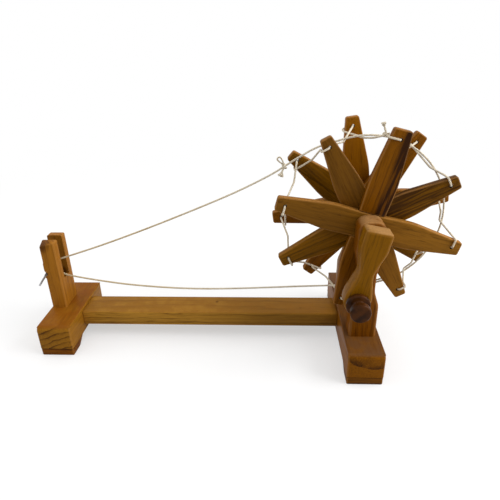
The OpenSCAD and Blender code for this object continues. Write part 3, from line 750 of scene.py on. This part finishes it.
# Frayed ends: heading, length and seed of each, and how their fibres fan out
LACING_TUFT = (Vector((-0.3, 0.1, 1)), 3.8 * MM, 3)
BAND_TUFT = (Vector((-0.3, -0.1, -1)), 4.6 * MM, 11)
FIBRE_COUNT = 130
FIBRE_D = 0.34 * MM
FIBRE_SPREAD = 0.34
FIBRE_REACH = (0.6, 1.0)
FIBRE_ROOT = 0.3
FIBRE_STEPS = 4


def band_run(start, finish, shape):
    return [start.lerp(finish, share) + Vector((0, 0, rise * MM)) for share, rise in shape]


def arc(angles, place):
    """Points that a function of the angle places along an arc."""
    start, finish, steps = angles
    return [place(start + (finish - start) * i / steps) for i in range(steps + 1)]


def bent(points, steps):
    """A route through its points without corners, from the second to the last but one."""
    route = []
    for a, b, c, d in zip(points, points[1:], points[2:], points[3:]):
        for k in range(steps):
            t = k / steps
            quadratic = 2 * a - 5 * b + 4 * c - d
            cubic = 3 * b - a - 3 * c + d
            route.append(b + ((c - a) * t + quadratic * t ** 2 + cubic * t ** 3) / 2)
    return route


def smooth_run(points, steps=4):
    """A closed route drawn through its points without corners."""
    return bent(points[-1:] + points + points[:2], steps)


def spindle_loop(angle):
    low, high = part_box("spindle")
    fork = middle("spindle_fork")
    turn = math.radians(angle)
    centre = Vector(((low[0] + high[0]) / 2, fork.y, SPINDLE_H))
    return centre + BAND_LOOP_R * Vector((math.cos(turn), 0, math.sin(turn)))


def band_points():
    wheel = arc(BAND_WHEEL_ARC, lambda angle: wheel_point(BAND_WHEEL_R, angle, 0, WHEEL_Y))
    loop = arc(BAND_SPINDLE_ARC, spindle_loop)
    upper = band_run(loop[-1], wheel[0], BAND_UPPER_RUN)
    lower = band_run(wheel[-1], loop[0], BAND_LOWER_RUN)
    return upper[BAND_KNOT_STEP], upper + wheel + lower + loop


def overhand(centre, along, size=KNOT_SIZE):
    """Closed route of a tight overhand knot round a cord that runs along a direction."""
    ahead = along.normalized()
    side = ahead.cross(Vector((0, 1, 0))).normalized()
    up = side.cross(ahead)
    route = []
    for k in range(KNOT_STEPS):
        t = 2 * math.pi * k / KNOT_STEPS
        x = math.sin(t) + 2 * math.sin(2 * t)
        y = math.cos(t) - 2 * math.cos(2 * t)
        z = -math.sin(3 * t)
        route.append(centre + size * (side * x / 3 + up * y / 3 + ahead * z / 3))
    return route


def curl(points, steps=8):
    """An open route bent smoothly through a few points."""
    before = points[0] * 2 - points[1]
    after = points[-1] * 2 - points[-2]
    return bent([before] + points + [after], steps) + points[-1:]


def frayed(tip, ahead, length, seed):
    """Routes of loose fibres that fan out from a cord's cut end."""
    chance = random.Random(seed)
    routes = []
    for _ in range(FIBRE_COUNT):
        lean = Vector([chance.uniform(-1, 1) for _ in range(3)]) * FIBRE_SPREAD
        reach = length * chance.uniform(*FIBRE_REACH)
        heading = (ahead.normalized() + lean).normalized()
        start = tip - ahead.normalized() * length * FIBRE_ROOT
        bend = tip + heading * reach / 2
        end = bend + (heading + lean / 2).normalized() * reach / 2
        routes.append((curl([start, bend, end], FIBRE_STEPS), False))
    return routes


def show_cord(name, mesh, body, node):
    mesh.name = name
    piece = bpy.data.objects.new(name, mesh)
    bpy.context.scene.collection.objects.link(piece)
    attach(piece, body)
    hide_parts(node)


def joined(meshes):
    """One mesh made of several."""
    shape = bmesh.new()
    for mesh in meshes:
        shape.from_mesh(mesh)
    whole = bpy.data.meshes.new("joined")
    for material in meshes[0].materials:
        whole.materials.append(material)
    shape.to_mesh(whole)
    shape.free()
    for mesh in meshes:
        bpy.data.meshes.remove(mesh)
    return whole


def near(knot, steps):
    """Points at steps in mm from a knot."""
    return [knot + Vector(step) * MM for step in steps]


def build_lacing(tree):
    """The lacing, closed by a knot behind a front plank with one frayed end standing up."""
    material = cotton("unbleached cotton of the lacing", LACING_SOIL)
    end = LACING_KNOT_END
    knot = wheel_point(
        end_r(FRONT_SLIPS, end), FRONT_ANGLES[end], wrap_aside(FRONT_TIPS[end], HOLE_R) + LACING_KNOT_ASIDE,
        plank_faces("front", end)[1] + LACING_KNOT_BACK,
    )
    tail = near(knot, LACING_TAIL)
    routes = [
        (lacing_route(), True), (overhand(knot, Vector((0, 0, 1))), True), (curl(tail), False),
    ]
    cord = laid(tree, routes, SHOWN_D, PLIES, material)
    fibres = laid(tree, frayed(tail[-1], *LACING_TUFT), FIBRE_D, 1, material)
    show_cord("laid_lacing", joined([cord, fibres]), "wheel", "lacing_cord")


def build_band(tree):
    """The drive band, closed by a bow of one small loop and one frayed end."""
    material = cotton("unbleached cotton of the band", BAND_SOIL)
    knot, route = band_points()
    tail = near(knot, BAND_TAIL)
    routes = [
        (smooth_run(route), True), (overhand(knot, Vector((1, 0, 0.5))), True), (curl(tail), False),
    ]
    cord = laid(tree, routes, SHOWN_D, PLIES, material)
    bow = laid(tree, [(curl(near(knot, BAND_BOW)), False)], BOW_D, PLIES, material)
    fibres = laid(tree, frayed(tail[-1], *BAND_TUFT), FIBRE_D, 1, material)
    show_cord("laid_drive_band", joined([cord, bow, fibres]), "base", "drive_band")


laid_cord = cord_tree()
build_lacing(laid_cord)
build_band(laid_cord)


# Wooden pieces

# Tones as pale and dark wood, named by how they look
STRAW = ("#b98530", "#543209")
GOLD = ("#a66b1d", "#5c3409")
HONEY = ("#9a671a", "#4e2c08")
TAN = ("#8d5e1a", "#3a1e02")
OLIVE = ("#825405", "#342003")
GINGER = ("#935a07", "#442404")
AMBER = ("#804c04", "#3c1f03")
RUSSET = ("#7a4506", "#341604")
UMBER = ("#6c400a", "#281404")

# Pale colours of painted top light on faces that look up: the post's and crank's, and the planks'
PAINTED_TOP_HIGHLIGHT = "#b58a58"
PAINTED_UPPER_LIGHT = "#bb8140"

# Marks on the base pieces, some of them painted shade, and where their sanding stops
FORK_LOW, FORK_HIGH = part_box("spindle_fork")
FORK_CORNER = Vector((FORK_LOW[0], FORK_LOW[1], FORK_HIGH[2]))
FORK_MIDDLE = middle("spindle_fork")
SLOT_HALF = 4 * MM
SLOT_FLOOR = 46.4 * MM
# Painted shade at the foot of the fork's slot, drawn as a dark spot
SLOT_FOOT_SHADE = Vector((FORK_MIDDLE.x, FORK_MIDDLE.y + SLOT_HALF, SLOT_FLOOR + 2 * MM))
# How much painted shade the seam colour lays inside the fork's slot
SLOT_SHADE = 0.4
NOTCH_REACH = 6.5 * MM
FOOT_ROUND = 1.0 * MM
PAD_SEAM = 0.5 * MM
BEAM_KNOT = Vector((-20.0, 14.1, 21.6)) * MM
# Painted shadow of the wheel on the beam, darker towards its right end: where it starts and is full along
# x, and its depth
BEAM_WHEEL_SHADOW = (-60 * MM, 35 * MM, 0.5)

# Each base piece: its tone, grain, pith off its middle in mm, spacing of its rings in mm,
# figure of its long faces and of its ends, the edge's ease in mm, and any spots, painted shade and painted
# top light
BASE_TIMBER = {
    # The feet and beam take darker tops as painted shade; the front post a pale top as a painted highlight
    "spindle_foot": (HONEY, "y", (20, 0, -56), 4.6, 0.35, 1.3, 1.0, {"painted_top_light": ("#7f430a", 0.8)}),
    "spindle_foot_front_pad": (RUSSET, "x", (0, -30, -16), 1.7, 0.9, 0.9, 0.95, {}),
    "spindle_foot_rear_pad": (RUSSET, "x", (4, 30, -16), 1.7, 0.9, 0.9, 0.95, {}),
    "wheel_foot": (AMBER, "y", (3.5, 0, 22), 22.4, 0.4, 0.9, 1.0, {"painted_top_light": ("#59402d", 0.75)}),
    "wheel_foot_front_pad": (UMBER, "x", (2, -30, -14), 1.7, 0.9, 0.9, 0.95, {}),
    "wheel_foot_rear_pad": (UMBER, "x", (6, 30, -14), 1.7, 0.9, 0.9, 0.95, {}),
    "beam": (STRAW, "x", (0, -20, -40), 3.6, 0.6, 0.6, 0.8, {
        "spots": [(BEAM_KNOT, 1.8 * MM)], "painted_top_light": ("#8c5c1b", 0.85),
        "soiled_and_shaded": BEAM_WHEEL_SHADOW,
    }),
    # The fork's corner spot is dark end grain; the spot at the slot's foot is painted shade
    "spindle_fork": (GOLD, "z", (-20, -28, 0), 3.2, 0.24, 0.8, 1.0, {
        "spots": [(FORK_CORNER, 10.5 * MM), (SLOT_FOOT_SHADE, 6 * MM)],
    }),
    "front_post": (RUSSET, "z", (26, -18, 0), 4.2, 0.4, 0.6, 1.6, {"painted_top_light": (PAINTED_TOP_HIGHLIGHT, 0.75)}),
    "rear_post": (OLIVE, "z", (-24, 22, 0), 4.2, 0.4, 0.6, 1.6, {}),
}

# Each plank: its tone, pith through and across its width in mm, figure, how far its upper
# sides are paler with painted top light and its left end darker with painted shade, and any
# dark heartwood as where across the plank it starts and is full, in mm, and its depth
PLANK_TIMBER = {
    "front_plank_1": (TAN, (-18, 6), 0.3, 0.6, 0.3, None),
    "front_plank_2": (OLIVE, (-12, -10), 0.5, 0.1, 0, (-9, -3, 0.85)),
    "front_plank_3": (AMBER, (-14, -8), 0.4, 0.4, 0, (2.4, -3.0, 1.2)),
    "front_plank_4": (TAN, (-20, 3), 0.3, 0.5, 0.45, None),
    "rear_plank_1": (AMBER, (-22, 8), 0.4, 0.5, 0, None),
    "rear_plank_2": (AMBER, (-16, -5), 0.4, 0.5, 0, None),
    "rear_plank_3": (GINGER, (-18, 9), 0.4, 0.5, 0, None),
    "rear_plank_4": (OLIVE, (-24, -6), 0.5, 0.8, 0, (-3, 2, 0.3)),
}
# Painted shade towards the planks' left ends: where it starts and where it is full along x
PLANK_END_SHADE = (AXLE.x + 30 * MM, AXLE.x - 30 * MM)
PLANK_EASE = 0.8 * MM

# Crank, axle and hub, with their pith off the middle
CRANK_PITH = Vector((16, -24, 0)) * MM
CRANK_FIGURE = 0.22
# How far the crank's faces that look up take the pale painted highlight
CRANK_TOP_LIGHT = 0.8
CRANK_EASE = 1.9 * MM
CRANK_SEGMENTS = 5
CRANK_BORE_REACH = 5 * MM
AXLE_PITH = Vector((-6, 0, -9)) * MM
AXLE_RINGS = 2 * MM
AXLE_FIGURE = 0.4


def plain_words(node):
    return node.replace("_", " ")


def slot_shade(point):
    """Painted shade inside the fork's slot."""
    inside = abs(point.y - FORK_MIDDLE.y) < SLOT_HALF + MERGE and point.z > SLOT_FLOOR - MERGE
    return SLOT_SHADE if inside else 0.0


def hole_shade(holes, reach=HOLE_REACH):
    """Painted shade on the walls and rims of holes along y, as a function of a point."""
    def dirt_and_shade(point):
        near_hole = any(math.hypot(point.x - hole.x, point.z - hole.z) < reach for hole in holes)
        return 1.0 if near_hole else 0.0
    return dirt_and_shade


def socket_dirt(*uprights):
    """Dirt in a foot's sockets, hidden under its uprights, as a function of a point."""
    boxes = [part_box(upright) for upright in uprights]

    def dirt_and_shade(point):
        hidden = any(low[0] < point.x < high[0] and low[1] < point.y < high[1] for low, high in boxes)
        return 1.0 if hidden else 0.0
    return dirt_and_shade


def dress_base():
    spindle_foot_low, spindle_foot_high = (corner[2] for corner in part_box("spindle_foot"))
    wheel_foot_low, wheel_foot_high = (corner[2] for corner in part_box("wheel_foot"))
    fits = {
        "spindle_foot": {
            "inner": socket_dirt("spindle_fork"),
            "tight": (spindle_foot_high - FOOT_ROUND, math.inf), "seat": spindle_foot_low,
        },
        "wheel_foot": {
            "inner": socket_dirt("front_post", "rear_post"),
            "tight": (wheel_foot_high - FOOT_ROUND, math.inf), "seat": wheel_foot_low,
        },
        "spindle_fork": {
            "inner": slot_shade, "tight": (SPINDLE_H - NOTCH_REACH, SPINDLE_H + NOTCH_REACH),
            "seat": spindle_foot_high,
        },
        "front_post": {"seat": wheel_foot_high},
        "rear_post": {"seat": wheel_foot_high},
    }
    for node, (tone, grain, pith, spacing, figure, end_figure, ease, marks) in BASE_TIMBER.items():
        material = teak(
            "teak of the " + plain_words(node), *tone, GRAIN_TURNS[grain], middle(node) + Vector(pith) * MM,
            spacing * MM, figure, end_figure, **marks,
        )
        seam = PAD_SEAM if node.endswith("pad") else None
        sanded(node, ease * MM, "base", material, seam=seam, **fits.get(node, {}))


def dress_planks():
    for node, (tone, (through, across), figure, upper_light, soil_and_shade, heartwood) in PLANK_TIMBER.items():
        star, which = node.split("_plank_")
        angle = (FRONT_ANGLES if star == "front" else REAR_ANGLES)[int(which) - 1]
        sideways = wheel_point(0, angle, across * MM, 0)
        pith = Vector((sideways.x, middle(node).y + through * MM, sideways.z))
        if heartwood:
            start, full, depth = heartwood
            heartwood = ((start - across) * MM, (full - across) * MM, depth)
        # Painted top light on each plank's upper sides, and painted shade towards its left end
        material = teak(
            "teak of the " + plain_words(node), *tone, grain_at(angle), pith,
            figure=figure, heartwood=heartwood, painted_top_light=(PAINTED_UPPER_LIGHT, upper_light), soiled_and_shaded=(*PLANK_END_SHADE, soil_and_shade),
        )
        slips = FRONT_SLIPS if star == "front" else REAR_SLIPS
        steps = (int(which) - 1, int(which) - 1 + PLANKS)
        holes = [wheel_point(end_r(slips, step), angle + 180 * (step // PLANKS), 0, 0) for step in steps]
        sanded(node, PLANK_EASE, "wheel", material, inner=hole_shade(holes))


def dress_crank():
    # Pale painted highlight on the crank's faces that look up, and painted shade in its bores
    material = teak(
        "teak of the crank", *OLIVE, grain_at(90 - CRANK_LEAN), middle("crank_arm") + CRANK_PITH,
        figure=CRANK_FIGURE, painted_top_light=(PAINTED_TOP_HIGHLIGHT, CRANK_TOP_LIGHT),
    )
    sanded(
        "crank_arm", CRANK_EASE, "wheel", material, segments=CRANK_SEGMENTS,
        inner=hole_shade([AXLE, KNOB], CRANK_BORE_REACH),
    )


def dress(node, material):
    """A node whose own shape shows gets a material."""
    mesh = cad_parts[node].data
    mesh.materials.clear()
    mesh.materials.append(material)


def dress_small_pieces():
    pith = AXLE + AXLE_PITH
    dowel = teak(
        "teak of the axle", *HONEY, GRAIN_TURNS["y"], pith, spacing=AXLE_RINGS, figure=AXLE_FIGURE,
    )
    turned = teak("teak of the hub", *UMBER, GRAIN_TURNS["y"], pith)
    dress("axle", dowel)
    for node in ("hub_drum", "front_collar", "rear_collar", "crank_washer"):
        dress(node, turned)
    dress("crank_knob", knob_wood())
    dress("knob_screw", drawn_steel("steel of the screw", GRAIN_TURNS["y"]))
    dress("spindle", drawn_steel("steel of the spindle wire", GRAIN_TURNS["y"]))


dress_base()
dress_planks()
dress_crank()
dress_small_pieces()


# Studio

# Lamps, each with its place and size in metres and its power in watts
LAMPS = {
    "key": (Vector((1.0, -0.2, 0.55)), 0.9, 12),
    "fill": (Vector((-1.0, 0.05, 0.4)), 0.8, 3),
}
LAMP_AIM = Vector((0, 0, 0.07))

# Room and floor, with the levels of the light near the floor and overhead
ROOM_HEIGHTS = (0.3, 0.9)
ROOM_LEVELS = (0.24, 1.05)
FLOOR_SIZE = 60.0
BENCH_GREY = (0.5, 0.5, 0.5, 1)
WHITE = (1, 1, 1, 1)
FLOOR_GLOW = (0.5, 1.0)
GLOW_REACH = (0.15, 0.6)


def looked_at(tree):
    """1 for what the camera sees, straight, mirrored or through glass, else 0."""
    path = add_node(tree, "ShaderNodeLightPath").outputs
    mirrored = maths(tree, "MAXIMUM", path["Is Glossy Ray"], path["Is Transmission Ray"])
    return maths(tree, "MAXIMUM", path["Is Camera Ray"], mirrored)


def white_floor():
    """White paper floor. Where it is looked at it is partly lit by itself, and wholly so
    far out, so it stays white while the object's shadow still falls on it. Light that
    bounces off it is that of a dull bench, so little comes back up.
    """
    mesh = bpy.data.meshes.new("floor")
    half = FLOOR_SIZE / 2
    corners = [(-half, -half, 0), (half, -half, 0), (half, half, 0), (-half, half, 0)]
    mesh.from_pydata(corners, [], [range(4)])
    floor = bpy.data.objects.new("floor", mesh)
    bpy.context.scene.collection.objects.link(floor)
    material, tree = new_material("white paper")
    seen = looked_at(tree)
    place = add_node(tree, "ShaderNodeTexCoord").outputs["Object"]
    away = add_node(tree, "ShaderNodeVectorMath", {0: place}, operation="LENGTH").outputs["Value"]
    paper = add_node(tree, "ShaderNodeBsdfDiffuse", {"Color": blend(tree, seen, BENCH_GREY, WHITE)})
    glow = add_node(tree, "ShaderNodeEmission", {"Color": WHITE, "Strength": 1.0})
    mixed = add_node(tree, "ShaderNodeMixShader", {
        0: maths(tree, "MULTIPLY", seen, ramp(tree, away, *GLOW_REACH, *FLOOR_GLOW)),
        1: paper.outputs[0], 2: glow.outputs[0],
    })
    add_node(tree, "ShaderNodeOutputMaterial", {"Surface": mixed.outputs[0]})
    mesh.materials.append(material)


def area_light(name, place, size, power):
    """Soft square light aimed at the middle of the charkha."""
    lamp = bpy.data.lights.new(name, "AREA")
    lamp.size = size
    lamp.energy = power
    light = bpy.data.objects.new(name, lamp)
    aim = LAMP_AIM - place
    light.matrix_world = Matrix.Translation(place) @ aim.to_track_quat("-Z", "Y").to_matrix().to_4x4()
    bpy.context.scene.collection.objects.link(light)


def white_room():
    """Room that is dim near the floor and bright overhead, shown as white."""
    world = bpy.data.worlds.new("white room")
    world.use_nodes = True
    tree = world.node_tree
    tree.nodes.clear()
    heading = add_node(tree, "ShaderNodeTexCoord").outputs["Generated"]
    height = add_node(tree, "ShaderNodeSeparateXYZ", {0: heading}).outputs["Z"]
    level = ramp(tree, looked_at(tree), 0.0, 1.0, ramp(tree, height, *ROOM_HEIGHTS, *ROOM_LEVELS), 1.0)
    back = add_node(tree, "ShaderNodeBackground", {"Color": WHITE, "Strength": level})
    add_node(tree, "ShaderNodeOutputWorld", {"Surface": back.outputs[0]})
    bpy.context.scene.world = world


white_floor()
white_room()
for lamp_name, (lamp_place, lamp_size, lamp_power) in LAMPS.items():
    area_light(lamp_name, lamp_place, lamp_size, lamp_power)
bpy.context.scene.view_settings.view_transform = "Standard"
